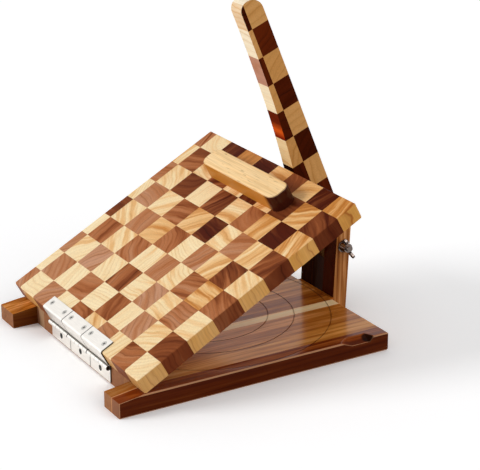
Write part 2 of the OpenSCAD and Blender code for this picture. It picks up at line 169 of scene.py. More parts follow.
def ring_pattern(tree, local, heart, ring_width, wander_mm, wander_scale, band_scale, seed):
    """How dark the late wood is, from 0 to 1, and slow bands beside it. local runs along the grain in z. The
    scales count the noises' cells in a metre, so 42 bends the rings about every 24 mm."""
    own = add(tree, "VectorMath", {0: local, 1: seed}, operation="ADD")
    wander = add(tree, "TexNoise", {"Vector": own, "Scale": wander_scale, "Detail": 2.0, "Roughness": 0.5})
    wander = add(tree, "MapRange", {"Value": wander, **NOISE_RANGE, "To Min": -wander_mm * MM,
                                    "To Max": wander_mm * MM})
    flat = add(tree, "VectorMath", {0: local, 1: heart}, operation="SUBTRACT")
    flat = add(tree, "VectorMath", {0: flat, 1: (1, 1, 0)}, operation="MULTIPLY")
    radius = add(tree, "VectorMath", {0: flat}, "Value", operation="LENGTH")
    radius = add(tree, "Math", {0: radius, 1: wander})
    age = add(tree, "Math", {0: radius, 1: ring_width}, operation="DIVIDE")
    place = add(tree, "Math", {0: age}, operation="FRACT")
    late = add(tree, "ValToRGB", {0: place}, stops=RING_PROFILE)
    number = add(tree, "Math", {0: age}, operation="FLOOR")
    number = add(tree, "VectorMath", {0: add(tree, "CombineXYZ", {0: number}), 1: seed}, operation="ADD")
    strength = add(tree, "TexWhiteNoise", {"Vector": number}, noise_dimensions="3D")
    strength = add(tree, "MapRange", {"Value": strength, "To Min": FAINTEST_RING, "To Max": 1.0})
    rings = add(tree, "Math", {0: late, 1: strength}, operation="MULTIPLY")

    # Wet and dry years follow each other, so whole groups of rings are darker or paler
    banded = add(tree, "VectorMath", {0: own, 1: (BAND_STRETCH,) * 3}, operation="MULTIPLY")
    banded = add(tree, "VectorMath", {0: banded, 1: add(tree, "CombineXYZ", {0: radius, 1: radius})})
    bands = add(tree, "TexNoise", {"Vector": banded, "Scale": band_scale, "Detail": 2.0, "Roughness": 0.6})
    bands = add(tree, "MapRange", {"Value": bands, **NOISE_RANGE, "To Min": -1.0, "To Max": 1.0})
    return rings, bands


print("ring pattern ready")

# %% [markdown]
# ## Fibres
# Under the rings lie the vessels and fibres, thin tubes that run along the grain. A photograph of wood
# would need a UV map on every piece. A noise needs none: squeezed across the grain and stretched along it,
# it gives thin lines on a side and dots on an end.
# %% Fibres along the grain
FIBRE_RANGE = {"From Min": 0.25, "From Max": 0.75}


def fibre_pattern(tree, local, width_mm, stretch, low, high):
    """Fine fibres along z, as a noise and as a grey to multiply a colour by."""
    thin = add(tree, "VectorMath", {0: local, 1: (1, 1, stretch)}, operation="MULTIPLY")
    fibres = add(tree, "TexNoise", {"Vector": thin, "Scale": 1 / (width_mm * MM), "Detail": 2.0,
                                    "Roughness": 0.6})
    shade = add(tree, "MapRange", {"Value": fibres, **FIBRE_RANGE, "To Min": low, "To Max": high})
    return fibres, add(tree, "CombineXYZ", {0: shade, 1: shade, 2: shade})


print("fibre pattern ready")

# %% [markdown]
# ## Finding the block
# The plate is a true chequer of end grain: short blocks of pale and dark hardwood stand on end, so their
# tops show the tree's yearly rings as arcs, and their sides show the grain running down. Ninety materials
# could do it, but one solid texture gives all the blocks of a wood. It first finds the block that a point
# is in. The rows are all one length, apart from the cut ones at both ends. The columns are not, because the
# maker ripped them from offcuts, so each joint that lies beyond the point adds one to the column's number.
# %% Which block a point is in


def find_block(tree, local, column_joints, block_l, seed):
    """The place where the block starts, and its number."""
    x = add(tree, "SeparateXYZ", {0: local}, 0)
    y = add(tree, "SeparateXYZ", {0: local}, 1)
    row = add(tree, "Math", {0: add(tree, "Math", {0: y, 1: block_l}, operation="DIVIDE")}, operation="FLOOR")
    row_start = add(tree, "Math", {0: row, 1: block_l}, operation="MULTIPLY")
    column, column_start, previous = 0.0, column_joints[0], column_joints[0]
    for joint in column_joints:
        passed = add(tree, "Math", {0: x, 1: joint}, operation="LESS_THAN")
        column = add(tree, "Math", {0: passed, 1: column})
        column_start = add(tree, "Math", {0: passed, 1: joint - previous, 2: column_start},
                           operation="MULTIPLY_ADD")
        previous = joint
    start = add(tree, "CombineXYZ", {0: column_start, 1: row_start})
    return start, add(tree, "CombineXYZ", {0: column, 1: row, 2: seed})


print("block finder ready")

# %% [markdown]
# ## A heart for each block
# Each block gets its own heart of the tree somewhere beside it, by chance. It lies 50 to 150 mm away, so
# that the arcs are nearly straight on a block of 29 mm. Because the rings depend only on the place across
# the grain, they run straight down the sides as they do in wood.
# %% The heart beside a block
HEART_NEAR = 50 * MM
HEART_FAR = 150 * MM


def block_heart(tree, start, chances):
    """The place of the tree's heart, in a direction and at a distance that chance picks."""
    angle = add(tree, "Math", {0: chances[0], 1: 2 * math.pi}, operation="MULTIPLY")
    reach = add(tree, "MapRange", {"Value": chances[1], "To Min": HEART_NEAR, "To Max": HEART_FAR})
    sideways, ahead = [add(tree, "Math", {0: add(tree, "Math", {0: angle}, operation=part), 1: reach},
                           operation="MULTIPLY") for part in ("COSINE", "SINE")]
    return add(tree, "VectorMath", {0: start, 1: add(tree, "CombineXYZ", {0: sideways, 1: ahead})})


print("heart finder ready")

# %% [markdown]
# ## Long grain
# The long grain on the blocks' sides gets a tint of its own, with thin lines where the rings run down. On the
# plate the tint is darker and more golden than the tops, as painted shade and warm bounced light, and on the
# lever it is a pale cream that paints the key light's sheen. A second material would need the mesh split into
# tops and sides. The direction that a face looks in tells them apart as well.
# %% The sides of the blocks
SIDE_TONES_L = 300 * MM
SIDE_FROM = 0.3
SIDE_TO = 0.8


def long_grain(tree, local, turn, wood, depth, side_tints_shade_and_sheen, side_share, side_line):
    """Tints the long grain, which also paints shade on the plate's sides and sheen on the lever's faces.
    depth says how strong the rings are, and side_line how they darken the tint.
    """
    y = add(tree, "SeparateXYZ", {0: local}, 1)
    normal = add(tree, "TexCoord", out="Normal")
    grain = turn @ Vector((0, 0, 1))
    along = add(tree, "VectorMath", {0: normal, 1: grain}, "Value", operation="DOT_PRODUCT")
    along = add(tree, "Math", {0: along}, operation="ABSOLUTE")
    sides = add(tree, "MapRange", {"Value": along, "From Min": SIDE_FROM, "From Max": SIDE_TO,
                                   "To Min": 1.0, "To Max": 0.0})
    # The tint along the plate paints shade, and along the lever sheen, glare and shade
    tint = add(tree, "ValToRGB", {0: add(tree, "Math", {0: y, 1: SIDE_TONES_L}, operation="DIVIDE")},
               stops=side_tints_shade_and_sheen)
    lines = add(tree, "Mix", {0: depth, 6: (1, 1, 1, 1), 7: linear(side_line)}, 2, data_type="RGBA")
    tint = add(tree, "VectorMath", {0: tint, 1: lines}, operation="MULTIPLY")
    share = add(tree, "Math", {0: sides, 1: side_share}, operation="MULTIPLY")
    return add(tree, "Mix", {0: share, 6: wood, 7: tint}, 2, data_type="RGBA")


print("long grain ready")

# %% [markdown]
# ## Oiled blocks
# A block's wood is its own tone, its rings on that, the long grain's tint and the vessels. A dry block
# takes up more oil than a dense one, so the tone is partly chance. It also drifts slowly over the plate,
# because the maker cut neighbouring blocks from one board, and a slope across the plate paints light: a pale
# sheen near the hinges and shade that deepens away from them.
# %% Block wood
VESSEL_MM = 1.3
BAND_SHARE = 0.3


def block_wood(name, corner, turn, column_joints, block_l, painted_light_and_chance, tones, ring_tones, ring_mm, side_tints_shade_and_sheen,
               side_share, seed, gloss, finish_and_painted_light=None, side_line="#eccda4"):
    """Oiled end grain in blocks. The first two of three given numbers drift the tone slowly along x and y,
    which paints sheen near the hinges and shade further on, and the third is chance's part. The side tints
    colour the long grain, from the first row to 0.3 m along, by side_share, as painted shade on the plate and
    painted sheen on the lever, and side_line its rings."""
    material, tree, shader = new_material(name)
    place = add(tree, "TexCoord", out="Object")
    local = add(tree, "Mapping", {0: place, "Location": corner, "Rotation": turn.to_euler()},
                vector_type="TEXTURE")
    start, number = find_block(tree, local, column_joints, block_l, seed)
    chance = add(tree, "TexWhiteNoise", {"Vector": number}, "Color", noise_dimensions="3D")
    chances = [add(tree, "SeparateColor", {0: chance}, index) for index in range(3)]
    heart = block_heart(tree, start, chances)
    width = add(tree, "MapRange", {"Value": chances[2], "To Min": ring_mm[0] * MM, "To Max": ring_mm[1] * MM})
    rings, bands = ring_pattern(tree, local, heart, width, wander_mm=1.7, wander_scale=42.0, band_scale=90.0,
                                seed=chance)

    # Each block has its own tone, and some show their rings more than others
    show = add(tree, "MapRange", {"Value": chances[1], "To Min": 0.5, "To Max": 1.0})
    band_share = add(tree, "Math", {0: show, 1: BAND_SHARE}, operation="MULTIPLY")
    bands = add(tree, "Math", {0: bands, 1: band_share}, operation="MULTIPLY")
    # The slope paints light: a pale sheen near the hinges and shade that deepens away from them
    painted_light_slope = add(tree, "VectorMath", {0: local, 1: (painted_light_and_chance[0], painted_light_and_chance[1], 0)}, "Value", operation="DOT_PRODUCT")
    bands_and_painted_light = add(tree, "Math", {0: bands, 1: painted_light_slope})
    pick = add(tree, "TexWhiteNoise", {"Vector": number, "W": seed}, noise_dimensions="4D")
    pick = add(tree, "Math", {0: pick, 1: painted_light_and_chance[2], 2: bands_and_painted_light}, operation="MULTIPLY_ADD")
    depth = add(tree, "Math", {0: rings, 1: show}, operation="MULTIPLY")
    tone = add(tree, "ValToRGB", {0: pick}, stops=tones)
    late = add(tree, "ValToRGB", {0: pick}, stops=ring_tones)
    wood = add(tree, "Mix", {0: depth, 6: tone, 7: late}, 2, data_type="RGBA")
    wood = long_grain(tree, local, turn, wood, depth, side_tints_shade_and_sheen, side_share, side_line)
    # The optional step adds painted shade, as at the lever's foot
    if finish_and_painted_light:
        wood = finish_and_painted_light(tree, place, wood)

    # Vessels are dots on the tops and lines down the sides, drawn as coarse as the render can show
    fibres, shade = fibre_pattern(tree, local, VESSEL_MM, stretch=0.05, low=0.9, high=1.08)
    wood = add(tree, "VectorMath", {0: wood, 1: shade}, operation="MULTIPLY")
    rough = add(tree, "MapRange", {"Value": fibres, "To Min": 0.36, "To Max": 0.48})
    return finish_material(material, tree, shader, wood, rough, fibres, 0.1, Specular_IOR_Level=gloss)


print("block wood ready")

# %% [markdown]
# ## The plate's two woods
# Oiled maple is pale and creamy, with thin honey-coloured rings, and oiled acacia heartwood is a reddish
# brown with dark rings. Towards the bar the maple darkens to a burnt gold and the acacia to a deep red-brown,
# as painted shade, and near the hinges both are paler, as a painted sheen. End grain scatters light in its
# open vessels, so both are nearly matt.
# %% Plate woods
plate_frame = (PIN + plate_turn @ Vector((0, PLATE_START + FIRST_ROW, 0)), plate_turn, COLUMN_JOINTS, BLOCK_L)
# These ramps run from a paler painted sheen near the hinges to darker painted shade towards the bar
pale_tones = [(0.0, "#fee8bc"), (0.3, "#f9dcaa"), (0.45, "#f2c68c"), (0.57, "#e9b474"), (0.72, "#d08a42"),
              (1.0, "#a9621e")]
pale_rings = [(0.0, "#ecc891"), (0.45, "#dfac6c"), (0.7, "#b5702e"), (1.0, "#8e4c16")]
light_block = block_wood("maple end grain, oiled", *plate_frame, painted_light_and_chance=(1.2, 2.0, 0.42), tones=pale_tones,
                         ring_tones=pale_rings, ring_mm=(2.8, 6.5), seed=2.0, gloss=0.1,
                         side_tints_shade_and_sheen=[(0.0, "#c88e42"), (1.0, "#dca04c")], side_share=0.85,
                         side_line="#b47e48")
# From a paler, greyer painted sheen near the hinges to darker painted shade towards the bar
dark_tones = [(0.0, "#cc9878"), (0.2, "#c08660"), (0.36, "#ba784e"), (0.5, "#ae693f"), (0.63, "#8c4b28"),
              (0.95, "#501c0c")]
dark_rings = [(0.0, "#925e40"), (0.5, "#763e20"), (0.75, "#4c1c0c"), (1.0, "#240a05")]
dark_block = block_wood("acacia heartwood end grain, oiled", *plate_frame, painted_light_and_chance=(0.8, 2.2, 0.62),
                        tones=dark_tones, ring_tones=dark_rings, ring_mm=(3.0, 8.0), seed=5.0, gloss=0.02,
                        side_tints_shade_and_sheen=[(0.0, "#6c3018"), (1.0, "#4a1a0a")], side_share=0.7,
                        side_line="#846050")
print("plate woods:", light_block.name, dark_block.name)

# %% [markdown]
# ## The lever's two woods
# The lever is glued up from the same two woods, with the grain across it. Its narrow faces are sanded
# smooth and look creamy, a pale colour that also paints the key light's sheen on them, paling towards the tip
# as a painted glare and dark at the foot as painted shade; its broad ones show the rings. Hands have polished
# one dark block to a warm red, and painted shade darkens the wood around the pivot, where the plate's edge
# shades the lever's foot. The ramps along the lever give each block's side its tone, which is simpler than a
# material for each.
# %% Lever woods
# How far from the bolt the painted shade at the lever's foot fades out
FOOT_SHADE_FROM = 30 * MM
FOOT_SHADE_TO = 42 * MM


def painted_foot_shade(tree, place, wood):
    """Painted shade darkens the wood around the bolt, at the lever's foot by the plate's edge."""
    near = add(tree, "VectorMath", {0: place, 1: PIVOT}, "Value", operation="DISTANCE")
    near = add(tree, "MapRange", {"Value": near, "From Min": FOOT_SHADE_FROM, "From Max": FOOT_SHADE_TO,
                                  "To Min": 0.8, "To Max": 0.0})
    # A dark brown of painted shade
    return add(tree, "Mix", {0: near, 6: wood, 7: linear("#2e1206")}, 2, data_type="RGBA")


across = Matrix((lever_turn @ Vector((0, 1, 0)), lever_turn @ Vector((0, 0, 1)), (1, 0, 0))).transposed()
lever_frame = (PIVOT + lever_turn @ Vector((0, LEVER_SEAM, LEVER_FIRST)), across, [0.0], LEVER_BLOCK_L)
# Cream that paints the key light's sheen, paling to a painted glare at the tip, with painted shade at the
# foot
cream_sides_sheen_and_shade = [(0.1, "#6e4424"), (0.2, "#ffd48c"), (0.35, "#ffe4ae"), (0.5, "#fff2d0"), (1.0, "#fff8e4")]
light_lever = block_wood("maple lever blocks, oiled", *lever_frame, painted_light_and_chance=(0.0, 0.0, 0.8),
                         tones=[(0.0, "#d49e60"), (0.5, "#d09858"), (1.0, "#c68c4c")],
                         ring_tones=[(0.0, "#bc8040"), (1.0, "#a86828")], ring_mm=(5.0, 10.0),
                         side_tints_shade_and_sheen=cream_sides_sheen_and_shade, side_share=0.84, seed=11.0, gloss=0.0, finish_and_painted_light=painted_foot_shade)
# Painted shade at the foot, a warm red patch, then a pale painted glare towards the tip
polished_sides_glare_and_shade = [(0.33, "#240b05"), (0.395, "#8a200c"), (0.42, "#ea621e"), (0.45, "#6e240e"),
                  (0.5, "#6a2410"), (0.55, "#c8927a"), (0.7, "#d09c84"), (0.76, "#ffdcb0"), (1.0, "#ffe8c4")]
dark_lever = block_wood("acacia lever blocks, oiled", *lever_frame, painted_light_and_chance=(0.0, 0.0, 0.8),
                        tones=[(0.0, "#66260c"), (0.5, "#4e1a08"), (1.0, "#3c1305")],
                        ring_tones=[(0.0, "#33110a"), (1.0, "#220a05")], ring_mm=(5.0, 10.0),
                        side_tints_shade_and_sheen=polished_sides_glare_and_shade, side_share=0.84, seed=17.0, gloss=0.0, finish_and_painted_light=painted_foot_shade)
print("lever woods:", light_lever.name, dark_lever.name)

# %% [markdown]
# ## Planks
# The base, the uprights and the bar are sawn along the grain and varnished. Rings cut lengthwise become
# long streaks. The same count of rings as on the blocks gives them, but the wandering is slow along the
# grain, so that the streaks part and join as they do on a board. A thin clear coat lies over the wood as
# the varnish does, with more of it on the top or on the sides, as each piece has been worn.
# %% Plank wood
GRAIN = {"X": (0, math.radians(90), 0), "Y": (math.radians(-90), 0, 0), "Z": (0, 0, 0)}
RINGS_ALONG = 0.07
STREAKS_ALONG = 0.05
STREAK_W = 5 * MM
# Fibres are finer than a hair, and drawn this wide so that they show
FIBRE_MM = 1.2
PLANK_BANDS = 0.2
PLANK_RINGS = 0.35
VARNISH_ROUGHNESS = 0.16


def plank_wood(name, grain, colours, heart, ring_mm, seed, coats, tints_and_shade=(), finish_and_painted_light=None, coated_from=0.0):
    """Varnished wood whose grain runs along one axis. heart is the tree's middle, in metres across the grain.
    coats are the varnish on the sides and on the top, from the height coated_from up. Each facing tint gives
    a direction, a colour, and its share on the faces that look that way, and on the uprights it paints shade."""
    material, tree, shader = new_material(name)
    place = add(tree, "TexCoord", out="Object")
    local = add(tree, "Mapping", {0: place, "Rotation": GRAIN[grain]}, vector_type="TEXTURE")
    slow = add(tree, "VectorMath", {0: local, 1: (1, 1, RINGS_ALONG)}, operation="MULTIPLY")
    rings, bands = ring_pattern(tree, slow, heart + (0,), ring_mm * MM, wander_mm=6.0, wander_scale=34.0,
                                band_scale=70.0, seed=(seed, seed * 0.7, seed * 0.3))
    streaks = add(tree, "VectorMath", {0: local, 1: (1, 1, STREAKS_ALONG)}, operation="MULTIPLY")
    streaks = add(tree, "VectorMath", {0: streaks, 1: (seed, seed, seed)})
    streaks = add(tree, "TexNoise", {"Vector": streaks, "Scale": 1 / STREAK_W, "Detail": 3.0,
                                     "Roughness": 0.6})
    streaks = add(tree, "MapRange", {"Value": streaks, **NOISE_RANGE, "To Min": 0.06, "To Max": 0.66})
    pick = add(tree, "Math", {0: bands, 1: PLANK_BANDS, 2: streaks}, operation="MULTIPLY_ADD")
    pick = add(tree, "Math", {0: rings, 1: PLANK_RINGS, 2: pick}, operation="MULTIPLY_ADD")
    wood = add(tree, "ValToRGB", {0: pick}, stops=colours)
    fibres, shade = fibre_pattern(tree, local, FIBRE_MM, stretch=0.03, low=0.8, high=1.14)
    wood = add(tree, "VectorMath", {0: wood, 1: shade}, operation="MULTIPLY")
    normal = add(tree, "TexCoord", out="Normal")
    # Each facing tint colours the faces that look its way; on the uprights it paints shade
    for direction, tint, share in tints_and_shade:
        facing = add(tree, "VectorMath", {0: normal, 1: direction}, "Value", operation="DOT_PRODUCT")
        share = add(tree, "MapRange", {"Value": facing, "From Min": 0.6, "From Max": 0.9, "To Max": share})
        wood = add(tree, "Mix", {0: share, 6: wood, 7: linear(tint)}, 2, data_type="RGBA")
    # The optional step adds marks and painted light, such as shade and highlights on the board
    if finish_and_painted_light:
        wood = finish_and_painted_light(tree, place, wood)
    rough = add(tree, "MapRange", {"Value": fibres, "To Min": 0.32, "To Max": 0.42})
    upwards = add(tree, "SeparateXYZ", {0: normal}, 2)
    height = add(tree, "SeparateXYZ", {0: place}, 2)
    high = add(tree, "Math", {0: height, 1: coated_from}, operation="GREATER_THAN")
    upwards = add(tree, "Math", {0: upwards, 1: high}, operation="MULTIPLY")
    layer = add(tree, "MapRange", {"Value": upwards, "From Min": 0.4, "From Max": 0.9, "To Min": coats[0],
                                   "To Max": coats[1]})
    tree.links.new(layer, shader.inputs["Coat Weight"])
    return finish_material(material, tree, shader, wood, rough, fibres, 0.06,
                           Specular_IOR_Level=0.0, Coat_Roughness=VARNISH_ROUGHNESS)


print("plank wood ready")

# %% [markdown]
# ## The right prong
# The strips are boards, and a board changes along its length. Near the hinges the boards of the right prong
# are redder and darker on top, partly their own tone and partly painted shade from the plate above them, and
# a thin pale line along their glue joint is a painted highlight. Both fade out, so they are a share of a
# colour by the place along the board, and no joint shows.
# %% The right prong's colour
PRONG_BOARDS_FROM = 46.6 * MM
PRONG_SEAM = 112 * MM
# How far the redder tone with its painted shade, and the painted highlight on the seam, reach
RED_AND_SHADE_L = 90 * MM
SEAM_HIGHLIGHT_L = 30 * MM


def prong_tone_shade_and_highlight(tree, place, wood):
    """Reddens and darkens the tops of the right prong's boards near the hinges, as their tone and as painted
    shade from the plate, and draws a painted highlight along their seam.
    """
    x, y = [add(tree, "SeparateXYZ", {0: place}, index) for index in (0, 1)]
    up = add(tree, "SeparateXYZ", {0: add(tree, "TexCoord", out="Normal")}, 2)
    share = add(tree, "MapRange", {"Value": y, "From Min": RECESS_Y, "From Max": RECESS_Y + RED_AND_SHADE_L,
                                   "To Min": 0.6, "To Max": 0.0})
    right = add(tree, "Math", {0: x, 1: PRONG_BOARDS_FROM}, operation="GREATER_THAN")
    share = add(tree, "Math", {0: share, 1: right}, operation="MULTIPLY")
    top = add(tree, "Math", {0: up, 1: 0.5}, operation="GREATER_THAN")
    share = add(tree, "Math", {0: share, 1: top}, operation="MULTIPLY")
    # The boards' red tone, darkened further as painted shade from the plate
    wood = add(tree, "Mix", {0: share, 6: wood, 7: linear("#742f0c")}, 2, data_type="RGBA")

    # A painted highlight along the glue joint
    seam_highlight = add(tree, "Math", {0: add(tree, "Math", {0: x, 1: -PRONG_SEAM})}, operation="ABSOLUTE")
    seam_highlight = add(tree, "MapRange", {"Value": seam_highlight, "From Min": 0.3 * MM, "From Max": 0.8 * MM,
                                  "To Min": 0.7, "To Max": 0.0})
    near = add(tree, "MapRange", {"Value": y, "From Min": RECESS_Y, "From Max": RECESS_Y + SEAM_HIGHLIGHT_L,
                                  "To Min": 1.0, "To Max": 0.0})
    seam_highlight = add(tree, "Math", {0: seam_highlight, 1: near}, operation="MULTIPLY")
    return add(tree, "Mix", {0: seam_highlight, 6: wood, 7: linear("#e8a874")}, 2, data_type="RGBA")


print("prong finish ready")

# %% [markdown]
# ## Burnt rings
# The rings that show the tortilla's size are burnt in with a hot tool, so a thin brown line lies in each
# groove. Thin strips of mesh could lie in the grooves, but would flicker against them. The colour follows
# the distance to the nearest ring instead, and only near the board's top.
# %% The rings' brown lines
RING_LINE = 0.9 * MM


def ring_finish(tree, place, wood):
    """Darkens the engraved rings, where their grooves are."""
    flat = add(tree, "VectorMath", {0: place, 1: RING_CENTRE}, operation="SUBTRACT")
    flat = add(tree, "VectorMath", {0: flat, 1: (1, 1, 0)}, operation="MULTIPLY")
    radius = add(tree, "VectorMath", {0: flat}, "Value", operation="LENGTH")
    nearest = 1.0
    for ring in RING_RADII:
        off = add(tree, "Math", {0: add(tree, "Math", {0: radius, 1: -ring})}, operation="ABSOLUTE")
        nearest = add(tree, "Math", {0: off, 1: nearest}, operation="MINIMUM")
    line = add(tree, "MapRange", {"Value": nearest, "From Min": RING_LINE * 0.4, "From Max": RING_LINE * 0.7,
                                  "To Min": 0.4, "To Max": 0.0})
    height = add(tree, "SeparateXYZ", {0: place}, 2)
    top = add(tree, "Math", {0: height, 1: BASE_T - 1 * MM}, operation="GREATER_THAN")
    share = add(tree, "Math", {0: line, 1: top}, operation="MULTIPLY")
    return add(tree, "Mix", {0: share, 6: wood, 7: linear("#2e1206")}, 2, data_type="RGBA")


print("burnt rings ready")

# %% [markdown]
# ## Edges and notch
# Sandpaper takes the stain and some of the varnish off the board's outer edges, so they are paler, and the
# pale line also paints the highlight that a rounded edge catches. A face that is square to an axis has one
# part of its normal near 1, and on a rounded edge the largest part is smaller: that finds the edges without
# painting them by hand. In the finger notch, painted shade darkens the far end.
# %% Sanded edges and painted shade in the notch
# The centre of the painted shade at the notch's far end
NOTCH_END = Vector((BASE_L / 2 - 5 * MM, (BASE_L + PRONG_L) / 2 - 20 * MM, BASE_T - 3 * MM))


def sanded_edge_and_highlight(tree, place, wood):
    """Makes the sanded outer edges paler, as bare wood and as a painted highlight."""
    normal = add(tree, "VectorMath", {0: add(tree, "TexCoord", out="Normal")}, operation="ABSOLUTE")
    parts = [add(tree, "SeparateXYZ", {0: normal}, index) for index in range(3)]
    largest = add(tree, "Math", {0: parts[0], 1: parts[1]}, operation="MAXIMUM")
    largest = add(tree, "Math", {0: largest, 1: parts[2]}, operation="MAXIMUM")
    edge = add(tree, "MapRange", {"Value": largest, "From Min": 0.86, "From Max": 0.94,
                                  "To Min": 0.5, "To Max": 0.0})
    sideways = add(tree, "Math", {0: add(tree, "SeparateXYZ", {0: place}, 0)}, operation="ABSOLUTE")
    outer = add(tree, "Math", {0: sideways, 1: BASE_L / 2 - 1 * MM}, operation="GREATER_THAN")
    edge = add(tree, "Math", {0: edge, 1: outer}, operation="MULTIPLY")
    # A pale line, partly sanded wood and partly a painted highlight
    return add(tree, "Mix", {0: edge, 6: wood, 7: linear("#eeb888")}, 2, data_type="RGBA")


def painted_notch_shade(tree, place, wood):
    """Darkens the notch's far end as painted shade, below the top and inside the side face."""
    notch_shade = add(tree, "VectorMath", {0: place, 1: NOTCH_END}, "Value", operation="DISTANCE")
    notch_shade = add(tree, "MapRange", {"Value": notch_shade, "From Min": 5 * MM, "From Max": 7 * MM,
                                   "To Min": 0.9, "To Max": 0.0})
    height = add(tree, "SeparateXYZ", {0: place}, 2)
    below = add(tree, "Math", {0: height, 1: BASE_T - 0.4 * MM}, operation="LESS_THAN")
    notch_shade = add(tree, "Math", {0: notch_shade, 1: below}, operation="MULTIPLY")
    sideways = add(tree, "Math", {0: add(tree, "SeparateXYZ", {0: place}, 0)}, operation="ABSOLUTE")
    inside = add(tree, "Math", {0: sideways, 1: BASE_L / 2 - 0.1 * MM}, operation="LESS_THAN")
    notch_shade = add(tree, "Math", {0: notch_shade, 1: inside}, operation="MULTIPLY")
    # Near black painted shade
    return add(tree, "Mix", {0: notch_shade, 6: wood, 7: linear("#1e0903")}, 2, data_type="RGBA")


def board_colours_and_painted_light(tree, place, wood):
    """The base board's colours, with its painted shade and highlights, in the order they are laid on."""
    for step in (prong_tone_shade_and_highlight, ring_finish, sanded_edge_and_highlight, painted_notch_shade):
        wood = step(tree, place, wood)
    return wood


print("board finish ready")

# %% [markdown]
# ## The base's strips
# Varnished acacia is a rich brown with streaks from gold to nearly black, and its sapwood is cream. The
# strips come from different boards: each gets its own colours, from light spring wood to dark late wood,
# and its own heart, below it or to one side. The varnish is glossy: it mirrors the dark posts and, beside
# them, the pale room.
# %% Strips of the base
RUSSET = [(0.0, "#b8642a"), (0.35, "#8c3e10"), (0.7, "#662606"), (1.0, "#3e1202")]
BROWN = [(0.0, "#eca462"), (0.35, "#c0742a"), (0.7, "#944a0e"), (1.0, "#642e08")]
GOLDEN = [(0.0, "#fcbc6c"), (0.35, "#d88c3c"), (0.7, "#9c5418"), (1.0, "#5e2c0a")]
SAPWOOD = [(0.0, "#ffe8bc"), (0.5, "#ffe0ac"), (0.9, "#ffca88"), (1.0, "#eca868")]
# The outer sides are tinted far darker than the top, and the end grain drank the varnish
STRIP_TINTS = [((1, 0, 0), "#3e1003", 0.78), ((-1, 0, 0), "#3e1003", 0.78), ((0, -1, 0), "#8a6048", 0.85)]
STRIP_COATS = (0.07, 0.62)
strips = [BROWN, BROWN, SAPWOOD, BROWN, GOLDEN, BROWN, SAPWOOD, BROWN, GOLDEN, RUSSET]
strip_woods = {}
for index, colours in enumerate(strips):
    node = "base_strip_%d" % (index + 1)
    low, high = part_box(node)
    heart = ((low.x + high.x) / 2 + (index % 3 - 1) * 40 * MM, -60 * MM - 12 * MM * (index % 4))
    strip_woods[node] = plank_wood("acacia strip %d, varnished" % (index + 1), "Y", colours, heart,
                                   ring_mm=4.5 + index % 3, seed=1.3 * index + 0.5, coats=STRIP_COATS,
                                   tints_and_shade=STRIP_TINTS, finish_and_painted_light=board_colours_and_painted_light, coated_from=BASE_T - 0.3 * MM)
print("strips:", len(strip_woods))

# %% [markdown]
# ## The bar
# The bar is rubberwood, a pale plantation wood with short dark pores along its grain. Its sides are
# painted a warmer, darker tone than its top, as shade with warm light bounced from the plate, and they are
# darker still near one end. The lever has worn the top nearly matt, while the sides keep their varnish.
# %% The bar's pores and painted shade
# Pores are 0.2 mm wide, and drawn 0.8 mm wide so that they show
PORE_SPACE = 1.6 * MM
PORES_ALONG = 0.16
# Where the sides grow darker towards one end
END_DARK_FROM = BAR_HALF - 16 * MM
END_DARK_TO = BAR_HALF - 9 * MM


def bar_pores_and_painted_shade(tree, place, wood):
    """Dark pores along the bar, a warmer, darker tone on its sides as painted shade with warm bounced light,
    and the sides darker near one end.
    """
    local = add(tree, "Mapping", {0: place, "Location": PIN, "Rotation": plate_turn.to_euler()},
                vector_type="TEXTURE")
    thin = add(tree, "VectorMath", {0: local, 1: (PORES_ALONG, 1, 1)}, operation="MULTIPLY")
    pores = add(tree, "TexNoise", {"Vector": thin, "Scale": 1 / PORE_SPACE, "Detail": 0.0})
    pores = add(tree, "MapRange", {"Value": pores, "From Min": 0.7, "From Max": 0.8, "To Max": 0.4})
    wood = add(tree, "Mix", {0: pores, 6: wood, 7: linear("#7a4a24")}, 2, data_type="RGBA")
    normal = add(tree, "TexCoord", out="Normal")
    upwards = add(tree, "VectorMath", {0: normal, 1: plate_turn @ Vector((0, 0, 1))}, "Value",
                  operation="DOT_PRODUCT")
    sides = add(tree, "MapRange", {"Value": upwards, "From Min": 0.4, "From Max": 0.9,
                                   "To Min": 1.0, "To Max": 0.0})
    # The warmer, darker sides are painted shade with warm light bounced from the plate
    share = add(tree, "Math", {0: sides, 1: 0.95}, operation="MULTIPLY")
    warm_shade = add(tree, "Mix", {0: share, 6: wood, 7: linear("#bc7620")}, 2, data_type="RGBA")
    reach = add(tree, "SeparateXYZ", {0: local}, 0)
    end = add(tree, "MapRange", {"Value": reach, "From Min": END_DARK_FROM, "From Max": END_DARK_TO})
    end = add(tree, "Math", {0: end, 1: sides}, operation="MULTIPLY")
    return add(tree, "Mix", {0: end, 6: warm_shade, 7: linear("#3f170d")}, 2, data_type="RGBA")


BAR = [(0.0, "#ffe0ae"), (0.5, "#fcd69e"), (1.0, "#f2c486")]
bar_wood = plank_wood("rubberwood bar, varnished", "X", BAR, heart=(0.05, 0.25), ring_mm=7.0, seed=29.0,
                      coats=(0.4, 0.05), finish_and_painted_light=bar_pores_and_painted_shade)
print("bar wood:", bar_wood.name)

